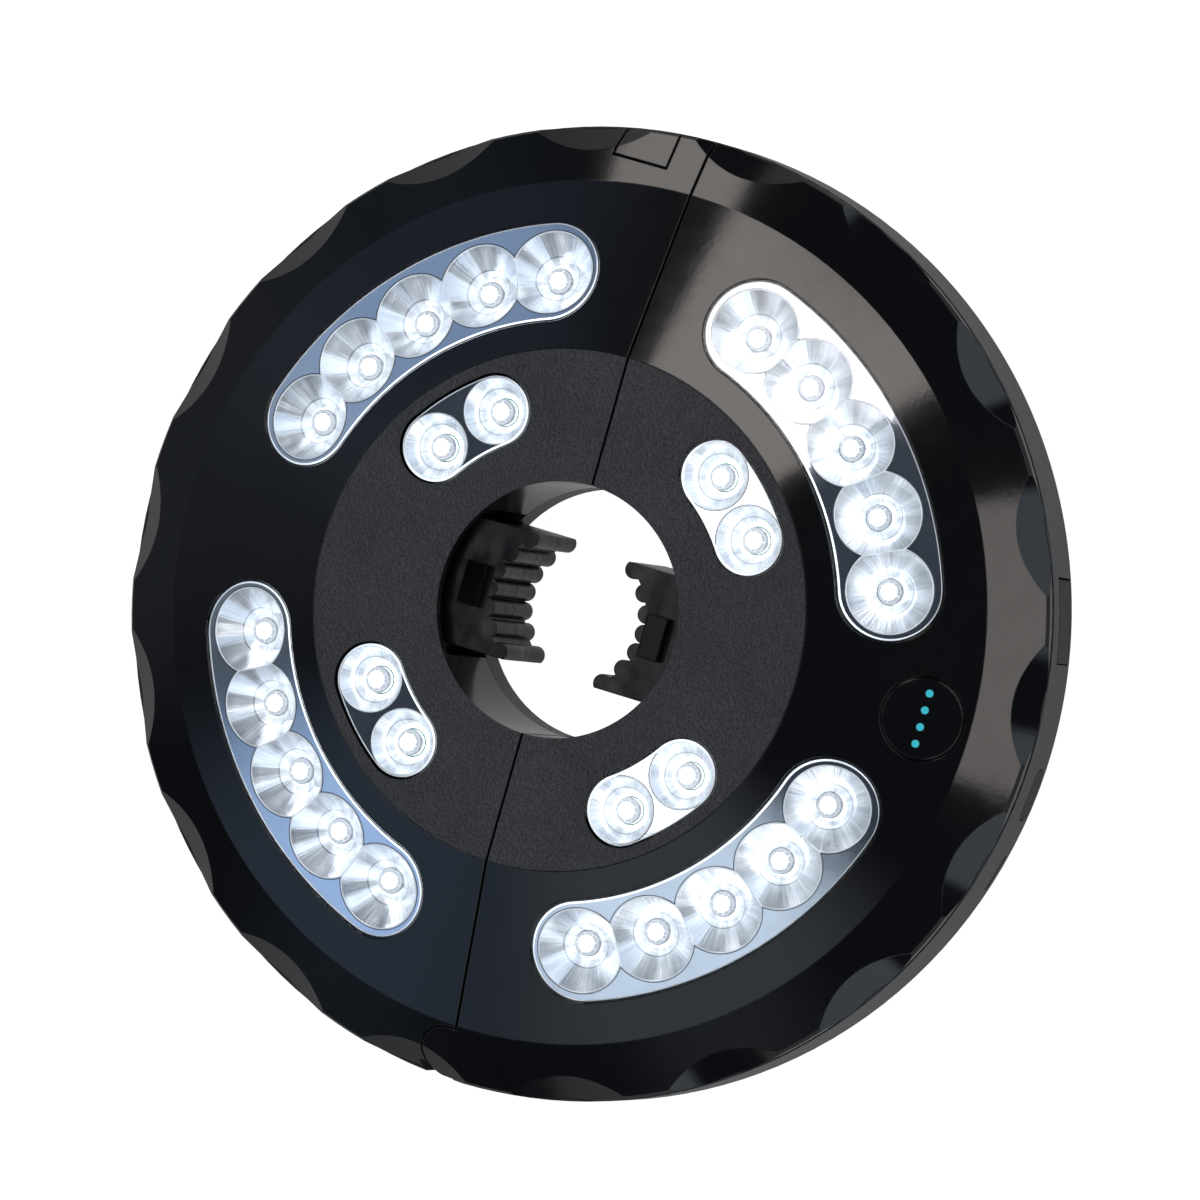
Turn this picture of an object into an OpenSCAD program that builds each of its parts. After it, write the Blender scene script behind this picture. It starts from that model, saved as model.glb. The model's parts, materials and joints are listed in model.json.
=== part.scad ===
// Patio umbrella light: two hinged halves that clip round a pole, 28 lamps, sprung toothed jaws.
// Origin: axis of the pole hole, on the flat back face. +Z is the way the lamps shine,
// +Y runs along the split to the latch, -Y to the hinge, +X to the middle of the hinged half.

/* [Body] */
// Radius of the smooth side band
rim_r = 111; // [105:0.5:125]
// Height from the flat back to the grained ring
total_h = 36; // [34:0.5:44]
// Gap between the two halves
split_gap = 0.6; // [0.4:0.1:1]
// Wall of the covers
wall = 2.2; // [1.8:0.1:2.6]
// Radius of the pole hole
hole_r = 29; // [27:0.5:30]
// Rounding of the back edge of the side band
back_edge_r = 3.4; // [1:0.1:3.8]

/* [Crown] */
// Outer radius of the grained centre ring
ring_r = 58.9; // [58:0.1:60]
// Thickness of the grained centre ring
ring_t = 2.5; // [2:0.1:3]
// Width of the bevel, from the side band to the lamp band
bevel_w = 13; // [11:0.5:14]
// Slope of the lamp band
band_slope = 15.4; // [13:0.1:17]
// Slope of the bevel
bevel_slope = 22; // [18:0.5:26]
// How far the crown's rim lies inside the side band
crown_inset = 0.2; // [0.1:0.1:1]
// Height of the crown's upright edge, from the parting of the covers to the bevel
crown_edge_h = 3.1; // [2:0.1:5]

/* [Scallops] */
// Number of scallops round the crown
scallops = 18; // [12:1:24]
// Direction of the first scallop, in degrees from +X
scallop_start = 5; // [0:1:20]
// Radius of the tool that scoops each scallop
scallop_r = 62; // [45:1:70]
// Depth of a scallop into the bevel, from the crown's rim
scallop_depth = 5.7; // [3:0.1:6.5]

/* [Outer lamps] */
// Lamps in each outer cluster
outer_count = 5; // [3:1:5]
// How far the circle of outer lamps lies inside the middle of the lamp band
outer_lamp_in = 1.4; // [0.5:0.1:2.5]
// Pitch of the outer lamps, in degrees
outer_pitch = 12.85; // [12:0.05:13.2]
// Radius of an outer reflector cup at its rim
outer_cup_r = 9.8; // [9:0.1:10]
// Half width of an outer window
outer_window_hw = 11.8; // [11.2:0.1:12.4]

/* [Inner lamps] */
// Radius of the circle of inner lamps
inner_lamp_r = 47.7; // [47:0.1:48.5]
// Pitch of the inner lamps, in degrees
inner_pitch = 19.7; // [19:0.1:21]
// Radius of an inner reflector cup at its rim
inner_cup_r = 7.5; // [6.5:0.1:7.8]
// Half width of an inner window
inner_window_hw = 8.6; // [8.2:0.1:9]

/* [Lamps and windows] */
// Direction of a cluster's middle, in degrees from the middle of its half
cluster_angle = 45; // [44:0.5:46]
// How far the long sides of a window are drawn in from its round ends
slot_waist = 0.06; // [0.03:0.01:0.3]
// Thickness of the clear windows
window_t = 0.6; // [0.5:0.1:1.4]
// How far the windows lie below the cover
window_recess = 0.1; // [0.05:0.05:0.3]
// Wall of the reflector cups
cup_wall = 0.5; // [0.4:0.05:0.6]
// Depth of the inner cups
inner_cup_depth = 6.1; // [5:0.1:6.5]
// Radius of a lamp's lens
chip_r = 3; // [1.8:0.1:3.2]
// Height of a lamp with its domed lens
chip_h = 3.4; // [2:0.1:4]
// Thickness of the circuit boards
board_t = 1.6; // [1.2:0.1:1.6]

/* [Jaws] */
// Radius of the pole that the ridge tips lie on at rest
grip_r = 17.2; // [16:0.1:19]
// Ridges on each jaw
ridges = 7; // [5:2:7]
// Pitch of the ridges
ridge_pitch = 4.45; // [4:0.05:4.6]
// Radius of a ridge
ridge_r = 2.15; // [1.8:0.05:2.2]
// Half width of a jaw
jaw_hw = 14.8; // [14.5:0.1:15.2]
// Height of the jaw's back face above the back of the light
jaw_bottom = 5; // [4.5:0.1:6]
// Height of a jaw
jaw_h = 25; // [20:0.5:25.5]
// Distance from the hole's axis to the back of the jaw
jaw_back = 44; // [42:0.5:45]
// How far a jaw slides out
jaw_travel = 9; // [6:0.5:9.5]
// Length of the thumb tab on the front of a jaw
tab_l = 5; // [3:0.5:6]
// Half width of the thumb tab
tab_hw = 5; // [3:0.5:7]
// Running gap round a jaw
jaw_gap = 0.3; // [0.2:0.05:0.5]

/* [Hinge and latch] */
// Distance of the hinge pin beyond the split, on the fixed half's side
pin_x = 2; // [1.5:0.1:3]
// Distance from the side band to the hinge pin
pin_in = 6.2; // [6.2:0.1:7]
// Radius of the hinge pin
pin_r = 1.75; // [1.5:0.05:2]
// Running clearance of the hinge pin
pin_clear = 0.06; // [0.02:0.01:0.1]
// Radius of the hinge knuckles
knuckle_r = 5.8; // [5:0.1:5.9]
// Height of the lower knuckle
knuckle_h = 5; // [4:0.5:6]
// Width of the latch button
button_w = 13; // [10:0.5:14]
// Distance of the latch button's middle from the split
button_x = 14.8; // [13.5:0.1:16]
// Length of the latch button along the split
button_l = 8.2; // [6:0.1:8.8]
// Travel of the latch button
button_travel = 1.4; // [1:0.1:1.6]

/* [Power button and ports] */
// Radius of the power button
power_r = 9.2; // [8:0.1:9.5]
// Distance from the bevel to the power button's middle
power_in = 10.6; // [10:0.1:11.5]
// Travel of the power button
power_travel = 0.6; // [0.3:0.1:0.7]
// Spacing of the dots of the battery gauge
dot_pitch = 3.88; // [3:0.02:4.2]
// Radius of a gauge dot
dot_r = 0.85; // [0.5:0.05:1]
// Direction of the wide socket, in degrees from +X
socket_angle = 15.1; // [14:0.1:17]
// Length of the wide socket's flap
flap_l = 19; // [17:0.5:20]
// Height of the wide socket's flap
flap_h = 8.2; // [7.5:0.1:8.8]
// Direction of the charging port, in degrees from +X
charge_angle = -5.5; // [-7:0.1:-4]
// Length of the charging port's plug
plug_l = 12; // [11:0.5:13]
// Height of the charging port's plug
plug_h = 5; // [4.4:0.1:5.6]
// Direction of the vent slit, in degrees from +X
slit_angle = -15.6; // [-18:0.1:-15]
// Length of the vent slit
slit_l = 9; // [6:0.5:10]

/* [Fasteners and cells] */
// Radius of a screw's head
screw_head_r = 2.7; // [2.4:0.1:2.9]
// Radius of a screw's shank
screw_r = 1.45; // [1.2:0.05:1.5]
// Radius of a battery cell
cell_r = 9.15; // [8.5:0.05:9.2]
// Length of a battery cell
cell_l = 65; // [60:1:66]
// Length of the main board, from the hole outward
main_board_l = 29; // [26:1:32]
// Width of the main board
main_board_w = 50; // [44:1:54]

/* [Hidden] */
$fn = 96;
fit_gap = 0.1;                    // between pieces that are set in one another
seat_gap = 0.3;                   // between a piece and the one it hangs over
over = 1;                         // how far a cut runs past a face
crown_r = rim_r - crown_inset;
half_gap = split_gap / 2;
split_in = half_gap + wall;       // inner face of the walls along the split
cover_in_r = ring_r + fit_gap;    // inner edge of the front cover
band_r = rim_r - bevel_w;
band_tan = tan(band_slope);
bevel_tan = tan(bevel_slope);
band_h = total_h - (band_r - ring_r) * band_tan;
lip_h = band_h - (crown_r - band_r) * bevel_tan;
parting_h = lip_h - crown_edge_h; // where the back cover meets the front cover
ring_bottom = total_h - ring_t;
ledge_w = 2;                      // ledge of the front cover that carries the ring
ledge_t = 2.2;
collar_r = hole_r + wall;
collar_part_h = 8;                // height where the two collars of the hole meet
wedge_r = 2 * rim_r;

window_lip = 0.5;                 // ledge that a window rests on
pocket_depth = window_recess + window_t;
cup_drop = pocket_depth + fit_gap; // from the cover's face to a cup's rim
tray_t = 1;
tray_edge = 0.6;                  // how far a tray reaches past its window
cup_hole_r = chip_r + 0.5;        // hole in a cup, round its lens
outer_span = outer_pitch * (outer_count - 1) / 2;
inner_span = inner_pitch / 2;
outer_lamp_r = (ring_r + band_r) / 2 - outer_lamp_in;
cell_room = 0.5;                  // between the cells and the outer board
outer_board_h = wall + seat_gap + 2 * cell_r + cell_room;
outer_board_top = outer_board_h + board_t;
outer_board_span = 79;            // half angle of an outer board
inner_board_h = total_h - cup_drop - inner_cup_depth - seat_gap - board_t;
inner_board_hw = inner_window_hw + tray_edge;
// the outer cups reach from their rims down to the outer board
outer_cup_room = total_h - (outer_lamp_r - ring_r) * band_tan - outer_board_top - seat_gap;
outer_cup_depth = (outer_cup_room - (cup_hole_r + cup_wall) * sin(band_slope)) / cos(band_slope)
    - cup_drop;

jaw_top = jaw_bottom + jaw_h;
jaw_part_h = jaw_bottom + jaw_h / 2;
jaw_seam = 0.2;
tab_x = 20;                       // inner end of a thumb tab
tab_top = ring_bottom - 0.5;
rail_t = 2;                       // side walls of a jaw's channel
channel_hw = jaw_hw + jaw_gap;
spring_end = jaw_back + jaw_travel + 5;
spring_coil_r = 3.2;
spring_wire = 0.7;
spring_turns = 6;
spring_peg_r = 2.2;
spring_h = jaw_bottom + jaw_h / 2;
outer_board_in = spring_end + rail_t + 4;
outer_board_out = outer_lamp_r + 13;

pin_y = rim_r - pin_in;
pin = [-pin_x, -pin_y];
pin_top = parting_h + 2.8;
knuckle_gap = 0.4;
hinge_block_r = 9;                // solid block round the knuckles
notch_r = knuckle_r + 2;          // clearance notch where the rim swings past
notch_y = rim_r - 2.6;
knuckle_z_gap = 0.2;

button_in = rim_r - button_l - 0.4;
button_gap = 0.5;
button_bottom = parting_h + button_travel + seat_gap;
stem_w = 7;
stem_l = 3.6;
stem_bottom = 7;
catch_h = 10.6;
tongue_h = 12;
tongue_t = 1.6;
tongue_w = 5;
tongue_y = button_in - 5;
tongue_reach = 9.5;
latch_coil_r = 2.2;

power_gap = 0.3;
power_t = 1.4;
power_flange = 0.9;
power_flange_t = 0.9;
power_x = band_r - power_in;
power_h = total_h - (power_x - ring_r) * band_tan;
switch_w = 6;
switch_h = 1.1;
foot_r = 2;
// from the button's face to its foot, which meets the switch at the end of its travel
power_foot = (power_h - outer_board_top - switch_h - foot_r * sin(band_slope))
    / cos(band_slope) - power_travel - 0.03;

flap_t = 1.7;
flap_z = 8.4;
plug_t = 1.6;
plug_z = 6.9;
port_depth = 2;
slit_h = 1;
slit_z = 5.4;
main_board_h = 3.9;
main_board_in = 8;                // from the side band to the board
main_board_turn = 5;
main_board_shift = 1;             // of the board's middle, across
board_foot_in = 2;                // from a corner of the board to its foot

post_r = 3.9;
screw_hole_r = screw_r + 0.1;
head_hole_r = screw_head_r + 0.3;
head_depth = 3;
screw_head_t = 1.8;
outer_screw_r = rim_r - 11;
outer_screw_angles = [-72, -45, 45, 72];
inner_screw_r = 35.4;
inner_screw_angles = [-66, 66];
support_r = 2.4;
supports = [[outer_board_in + 3, -12], [outer_board_in + 3, 12],
    [outer_board_out - 2.7, -74], [outer_board_out - 2.7, 74]];
cell_spot_r = 70;

gloss_black = [0.05, 0.05, 0.055];
satin_black = [0.16, 0.165, 0.17];
grained_black = [0.13, 0.13, 0.14];
clear = [0.85, 0.9, 1, 0.3];
silver = [0.85, 0.87, 0.9];
glow = [1, 1, 1];
board_green = [0.1, 0.32, 0.2];
steel = [0.7, 0.7, 0.72];
cell_blue = [0.25, 0.4, 0.6];
rubber_grey = [0.2, 0.2, 0.21];
dot_cyan = [0.2, 0.75, 0.85];

LEFT = -1;
RIGHT = 1;

// Height of the lamp band at a radius
function band_z(r) = total_h - (r - ring_r) * band_tan;

// Direction of a half's middle
function side_turn(side) = side > 0 ? 0 : 180;

// Turns a shape built about +X to the middle of a half
module to_side(side) { rotate(side_turn(side)) children(); }

// Both clusters of a half
module at_clusters(side) {
    to_side(side) for (a = [-cluster_angle, cluster_angle]) rotate(a) children();
}

// The lamps of one cluster, about +X
module along_cluster(count, pitch) {
    for (i = [0:count - 1]) rotate((i - (count - 1) / 2) * pitch) children();
}

// Flat outline of an arc with round ends and a slight waist, about +X
module arc_slot(r, hw, span) {
    intersection() {
        difference() {
            circle(r + hw - slot_waist);
            circle(r - hw + slot_waist);
        }
        polygon([[0, 0], wedge_r * [cos(span), -sin(span)], [wedge_r, 0],
            wedge_r * [cos(span), sin(span)]]);
    }
    for (s = [-1, 1]) rotate(s * span) translate([r, 0]) rotate(-s * 90) circle(hw);
}

// Layer under the lamp band, between two depths below its face
module band_layer(top, bottom) {
    in_r = cover_in_r;
    out_r = band_r;
    rotate_extrude()
        polygon([[in_r, band_z(in_r) - bottom], [out_r, band_z(out_r) - bottom],
            [out_r, band_z(out_r) - top], [in_r, band_z(in_r) - top]]);
}

// Block that keeps one side of the split, starting x from it
module side_block(side, x, low = -over, high = total_h + over) {
    to_side(side) translate([x, -wedge_r, low]) cube([wedge_r, 2 * wedge_r, high - low]);
}

// Upright cylinder round the hinge pin
module at_pin(r, low, high) {
    translate([pin[0], pin[1], low]) cylinder(r = r, h = high - low);
}

// Room that the fixed half leaves for the swinging half's knuckles
module knuckle_room(low, high) {
    at_pin(knuckle_r + knuckle_gap, low, high);
    translate([-pin_x, -rim_r - over, low])
        cube([pin_x + over, rim_r + over - pin_y + knuckle_r + knuckle_gap, high - low]);
}

// Notch in the fixed half's rim for the swinging half's rim
module rim_notch() {
    intersection() {
        at_pin(notch_r, -over, total_h);
        translate([-rim_r, -rim_r - over, -over])
            cube([2 * rim_r, rim_r + over - notch_y, total_h + over]);
    }
}

// ---- covers ----

// Outer form of the crown, from the parting to the ring
module crown_form() {
    edge = 0.6;
    difference() {
        rotate_extrude()
            polygon([[0, parting_h], [crown_r, parting_h], [crown_r, lip_h - edge],
                [crown_r - edge, lip_h + edge * bevel_tan], [band_r, band_h],
                [cover_in_r, band_z(cover_in_r)], [cover_in_r, total_h], [0, total_h]]);
        scallop_cuts();
    }
}

// Scoops round the crown: tilted cylinders that run out at the parting
module scallop_cuts(grow = 0) {
    valley_r = crown_r - scallop_depth;
    valley_z = band_h - (valley_r - band_r) * bevel_tan;
    tilt = atan((scallop_depth - 0.3) / (valley_z - parting_h));
    for (i = [0:scallops - 1])
        rotate(scallop_start + i * 360 / scallops)
            translate([valley_r, 0, valley_z]) rotate([0, -tilt, 0])
                translate([scallop_r, 0, -3 * scallop_depth])
                    cylinder(r = scallop_r + grow, h = 5 * scallop_depth);
}

// Hollow of the front cover: it follows the scallops, so that the wall stays even
module crown_hollow(side) {
    in_r = cover_in_r + wall;
    ledge_h = ring_bottom - ledge_t;
    difference() {
        intersection() {
            rotate_extrude()
                polygon([[cover_in_r - ledge_w - over, parting_h - over],
                    [crown_r - wall, parting_h - over],
                    [crown_r - wall, lip_h - wall * 0.8], [band_r - 0.6, band_h - wall * 1.06],
                    [in_r, band_z(in_r) - wall * 1.04], [in_r, ledge_h],
                    [cover_in_r - ledge_w - over, ledge_h]]);
            side_block(side, split_in);
        }
        scallop_cuts(wall);
    }
}

module screw_spots(side, r, angles) {
    to_side(side) for (a = angles) rotate(a) translate([r, 0, 0]) children();
}

// Openings over the lamps: a pocket for the window and a way through
module outer_window_cuts(side) {
    at_clusters(side) {
        intersection() {
            band_layer(-over, pocket_depth);
            linear_extrude(total_h + over) arc_slot(outer_lamp_r, outer_window_hw, outer_span);
        }
        translate([0, 0, parting_h])
            linear_extrude(total_h)
                arc_slot(outer_lamp_r, outer_window_hw - window_lip, outer_span);
    }
}

module front_cover(side) {
    color(gloss_black) difference() {
        intersection() {
            crown_form();
            union() {
                side_block(side, half_gap);
                if (side == RIGHT) knuckle_bridge(parting_h, total_h);
            }
        }
        difference() {
            crown_hollow(side);
            at_pin(hinge_block_r, 0, total_h);
            screw_spots(side, outer_screw_r, outer_screw_angles)
                cylinder(r = post_r, h = total_h);
        }
        // bore of the cover, with the ledge that carries the ring
        translate([0, 0, ring_bottom]) cylinder(r = cover_in_r, h = total_h);
        cylinder(r = cover_in_r - ledge_w, h = total_h);
        cylinder(r = cover_in_r, h = ring_bottom - ledge_t);
        outer_window_cuts(side);
        screw_spots(side, outer_screw_r, outer_screw_angles)
            cylinder(r = screw_hole_r, h = parting_h + 5);
        if (side == LEFT) {
            knuckle_room(0, total_h);
            rim_notch();
            button_opening();
        }
        if (side == RIGHT) {
            at_pin(pin_r + 0.02, 0, pin_top + 0.2);
            power_button_opening();
        }
    }
}

// Knuckle of the swinging half, joined to its edge
module knuckle_bridge(low, high) {
    at_pin(knuckle_r, low, high);
    translate([-pin_x, -pin_y - knuckle_r, low])
        cube([pin_x + half_gap, 2 * knuckle_r, high - low]);
}

// Outer form of the back cover, its back edge rounded
module base_form() {
    cylinder(r = rim_r - back_edge_r, h = parting_h);
    translate([0, 0, back_edge_r]) cylinder(r = rim_r, h = parting_h - back_edge_r);
    rotate_extrude() translate([rim_r - back_edge_r, back_edge_r]) circle(back_edge_r);
}

// Hollow of the back cover
module base_hollow(side) {
    difference() {
        translate([0, 0, wall]) cylinder(r = rim_r - wall, h = parting_h);
        side_block(-side, -split_in);
        cylinder(r = collar_r, h = parting_h);
        at_pin(hinge_block_r, 0, parting_h);
        screw_spots(side, outer_screw_r, outer_screw_angles)
            cylinder(r = post_r, h = parting_h);
        screw_spots(side, inner_screw_r, inner_screw_angles)
            cylinder(r = post_r, h = parting_h);
    }
}

// Walls, floor and end stop that guide a jaw
module jaw_channel(side) {
    to_side(side) difference() {
        translate([collar_r - 1, -channel_hw - rail_t, wall])
            cube([spring_end + rail_t - collar_r + 1, 2 * (channel_hw + rail_t),
                jaw_top + 0.5 - wall]);
        translate([0, -channel_hw, jaw_bottom - 0.1])
            cube([spring_end, 2 * channel_hw, total_h]);
    }
}

// Posts under the lamp boards
module board_posts(side) {
    to_side(side) {
        for (s = supports)
            rotate(s[1]) translate([s[0], 0, wall - 0.2])
                cylinder(r = support_r, h = outer_board_h - wall + 0.2);
        for (a = [-cluster_angle, cluster_angle])
            rotate(a) translate([inner_lamp_r, 0, wall - 0.2])
                cylinder(r = support_r, h = inner_board_h - wall + 0.2);
    }
}

module back_cover(side) {
    color(satin_black) difference() {
        union() {
            difference() {
                intersection() {
                    base_form();
                    side_block(side, half_gap);
                }
                base_hollow(side);
            }
            jaw_channel(side);
            board_posts(side);
            if (side == RIGHT) {
                knuckle_bridge(0, knuckle_h - knuckle_z_gap / 2);
                right_base_details();
            }
            if (side == LEFT) {
                at_pin(knuckle_r, knuckle_h + knuckle_z_gap / 2, parting_h - knuckle_z_gap);
                latch_guide();
            }
        }
        // pole hole, and the room above the lower collar
        translate([0, 0, -over]) cylinder(r = hole_r, h = total_h);
        difference() {
            translate([0, 0, collar_part_h]) cylinder(r = collar_r + fit_gap, h = total_h);
            jaw_rails(side);
        }
        to_side(side)
            translate([0, -channel_hw, jaw_bottom - 0.1]) cube([collar_r + 2, 2 * channel_hw, total_h]);
        screw_spots(side, outer_screw_r, outer_screw_angles) screw_bore(parting_h);
        screw_spots(side, inner_screw_r, inner_screw_angles) screw_bore(parting_h);
        if (side == LEFT) {
            // the swinging half's lower knuckle, and its upper one above the parting
            knuckle_room(-over, knuckle_h + knuckle_z_gap / 2);
            knuckle_room(parting_h - knuckle_z_gap, parting_h + over);
            rim_notch();
            at_pin(pin_r + pin_clear, 0, parting_h + over);
            tongue_window();
        }
        if (side == RIGHT) {
            at_pin(knuckle_r + knuckle_gap, knuckle_h - knuckle_z_gap / 2, parting_h + over);
            at_pin(pin_r + 0.02, 1.5, parting_h + over);
            port_cuts();
            tongue_slot();
        }
    }
}

// Where the channel's side walls stand, from the collar outward
module jaw_rails(side) {
    to_side(side) translate([collar_r - 0.8, -channel_hw - rail_t, 0])
        cube([rim_r, 2 * (channel_hw + rail_t), total_h]);
}

module screw_bore(top) {
    translate([0, 0, -over]) {
        cylinder(r = screw_hole_r, h = top + 2 * over);
        cylinder(r = head_hole_r, h = head_depth + over);
    }
}

// ---- grained centre ring ----

module inner_window_cuts(side) {
    at_clusters(side) {
        translate([0, 0, total_h - pocket_depth])
            linear_extrude(total_h) arc_slot(inner_lamp_r, inner_window_hw, inner_span);
        translate([0, 0, ring_bottom - over])
            linear_extrude(total_h)
                arc_slot(inner_lamp_r, inner_window_hw - window_lip, inner_span);
    }
}

module centre_ring(side) {
    ledge_in = cover_in_r - ledge_w - fit_gap;
    color(grained_black) difference() {
        intersection() {
            union() {
                translate([0, 0, ring_bottom]) cylinder(r = ring_r, h = ring_t);
                // upper collar of the hole
                translate([0, 0, collar_part_h + fit_gap])
                    cylinder(r = collar_r, h = ring_bottom - collar_part_h);
                // wall along the split
                intersection() {
                    translate([0, 0, parting_h + fit_gap])
                        cylinder(r = ledge_in, h = ring_bottom - parting_h);
                    difference() {
                        side_block(side, half_gap);
                        side_block(side, split_in);
                    }
                }
                screw_spots(side, inner_screw_r, inner_screw_angles)
                    translate([0, 0, parting_h + fit_gap])
                        cylinder(r = post_r, h = ring_bottom - parting_h);
                jaw_hold_downs(side);
            }
            side_block(side, half_gap);
        }
        translate([0, 0, -over]) cylinder(r = hole_r, h = total_h + 2 * over);
        // window for the jaw
        to_side(side)
            translate([0, -channel_hw - rail_t, -over])
                cube([collar_r + over, 2 * (channel_hw + rail_t), ring_bottom + over]);
        inner_window_cuts(side);
        screw_spots(side, inner_screw_r, inner_screw_angles)
            cylinder(r = screw_hole_r, h = parting_h + 9);
    }
}

// Ribs under the ring that hold a jaw down
module jaw_hold_downs(side) {
    low = jaw_top + jaw_gap;
    to_side(side) for (s = [-1, 1])
        translate([collar_r + 2.5, s > 0 ? tab_hw + 3 : -jaw_hw + 0.5, low])
            cube([20, jaw_hw - tab_hw - 3.5, ring_bottom - low + 0.2]);
}

// ---- windows, reflectors and lamps ----

module outer_windows(side) {
    color(clear) at_clusters(side) intersection() {
        band_layer(window_recess, pocket_depth);
        linear_extrude(total_h + over)
            arc_slot(outer_lamp_r, outer_window_hw - fit_gap, outer_span);
    }
}

module inner_windows(side) {
    color(clear) at_clusters(side)
        translate([0, 0, total_h - pocket_depth])
            linear_extrude(window_t)
                arc_slot(inner_lamp_r, inner_window_hw - fit_gap, inner_span);
}

// Places of the cups of one cluster, at the middle of their lower ends
module at_outer_cups() {
    along_cluster(outer_count, outer_pitch)
        translate([outer_lamp_r, 0, band_z(outer_lamp_r)]) rotate([0, band_slope, 0])
            translate([0, 0, -cup_drop - outer_cup_depth]) children();
}

module at_inner_cups() {
    along_cluster(2, inner_pitch)
        translate([inner_lamp_r, 0, total_h - cup_drop - inner_cup_depth]) children();
}

// Inside of a cup: the hole for the lens, and the cone, which runs on above its rim
module cup_inside(r, depth) {
    flare = (r - cup_hole_r) / depth;
    rotate_extrude()
        polygon([[0, -over], [cup_hole_r, -over], [cup_hole_r, 0],
            [r + flare * over, depth + over], [0, depth + over]]);
}

// Outer face of a cup, from its lower end into the tray that lies tray_top under its rim
module cup_outside(r, depth, tray_top) {
    flare = (r - cup_hole_r) / depth;
    foot = cup_hole_r + cup_wall * sqrt(1 + flare * flare);
    reach = depth - tray_top - tray_t / 2;
    cylinder(r1 = foot, r2 = foot + flare * reach, h = reach);
}

// Each tray has a flange under the cover and stands up into the opening, flush with the rims
module outer_reflectors(side) {
    flange = wall + seat_gap;
    color(silver) at_clusters(side) difference() {
        union() {
            at_outer_cups() cup_outside(outer_cup_r, outer_cup_depth, flange - cup_drop);
            intersection() {
                band_layer(flange, flange + tray_t);
                linear_extrude(total_h)
                    arc_slot(outer_lamp_r, outer_window_hw + tray_edge, outer_span);
            }
            intersection() {
                band_layer(cup_drop, flange + tray_t / 2);
                linear_extrude(total_h)
                    arc_slot(outer_lamp_r, outer_window_hw - window_lip - 0.2, outer_span);
            }
        }
        at_outer_cups() cup_inside(outer_cup_r, outer_cup_depth);
    }
}

module inner_reflectors(side) {
    flange = ring_t + seat_gap;
    color(silver) at_clusters(side) difference() {
        union() {
            at_inner_cups() cup_outside(inner_cup_r, inner_cup_depth, flange - cup_drop);
            translate([0, 0, total_h - flange - tray_t]) linear_extrude(tray_t)
                arc_slot(inner_lamp_r, inner_window_hw + tray_edge, inner_span);
            translate([0, 0, total_h - flange - tray_t / 2])
                linear_extrude(flange + tray_t / 2 - cup_drop)
                    arc_slot(inner_lamp_r, inner_window_hw - window_lip - 0.2, inner_span);
        }
        at_inner_cups() cup_inside(inner_cup_r, inner_cup_depth);
    }
}

// Lamp with a domed lens
module chip() {
    base = chip_h * 0.5;
    cap = chip_h - base;
    dome_r = (chip_r * chip_r + cap * cap) / (2 * cap);
    cylinder(r = chip_r, h = base);
    translate([0, 0, base]) intersection() {
        translate([0, 0, cap - dome_r]) sphere(dome_r);
        cylinder(r = dome_r, h = cap);
    }
}

module outer_lamps(side) {
    lens_r = outer_lamp_r - (cup_drop + outer_cup_depth) * sin(band_slope);
    color(glow) at_clusters(side) along_cluster(outer_count, outer_pitch)
        translate([lens_r, 0, outer_board_top]) chip();
}

module inner_lamps(side) {
    color(glow) at_clusters(side) along_cluster(2, inner_pitch)
        translate([inner_lamp_r, 0, inner_board_h + board_t]) chip();
}

module outer_board(side) {
    color(board_green) to_side(side) translate([0, 0, outer_board_h])
        linear_extrude(board_t) intersection() {
            difference() {
                circle(outer_board_out);
                circle(outer_board_in);
            }
            polygon([[0, 0], wedge_r * [cos(outer_board_span), -sin(outer_board_span)],
                [wedge_r, -wedge_r / 2], [wedge_r, wedge_r / 2],
                wedge_r * [cos(outer_board_span), sin(outer_board_span)]]);
        }
}

module inner_boards(side) {
    color(board_green) at_clusters(side) translate([0, 0, inner_board_h])
        linear_extrude(board_t) arc_slot(inner_lamp_r, inner_board_hw, inner_span);
}

// ---- fasteners and cells ----

// Pan head screw with a cross recess, from its head at the back
module screw(top) {
    difference() {
        translate([0, 0, head_depth - screw_head_t])
            cylinder(r = screw_head_r, h = screw_head_t);
        for (a = [0, 90]) rotate(a)
            translate([-1.7, -0.45, -over]) cube([3.4, 0.9, head_depth - 0.7 + over]);
    }
    translate([0, 0, head_depth - 0.1]) cylinder(r = screw_r, h = top - head_depth);
}

module screws(side) {
    color(steel) {
        screw_spots(side, outer_screw_r, outer_screw_angles) screw(parting_h + 4.5);
        screw_spots(side, inner_screw_r, inner_screw_angles) screw(parting_h + 8.5);
    }
}

// The two cells lie across the lamp clusters of the fixed half
module at_cells() {
    at_clusters(LEFT) translate([cell_spot_r, 0, wall + seat_gap + cell_r]) children();
}

module battery_cells() {
    color(cell_blue) at_cells() rotate([90, 0, 0]) {
        cylinder(r = cell_r, h = cell_l - 2, center = true);
        translate([0, 0, cell_l / 2 - 1.5]) cylinder(r = 3, h = 1.5);
        translate([0, 0, -cell_l / 2]) cylinder(r = cell_r - 1.5, h = 1.5);
    }
}

module battery_cradle() {
    color(satin_black) at_cells() difference() {
        translate([-cell_r, -cell_l / 2 + 4, -cell_r - seat_gap])
            cube([2 * cell_r, cell_l - 8, 6]);
        rotate([90, 0, 0]) cylinder(r = cell_r + fit_gap, h = cell_l + 2, center = true);
    }
}

// ---- jaws ----

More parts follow.
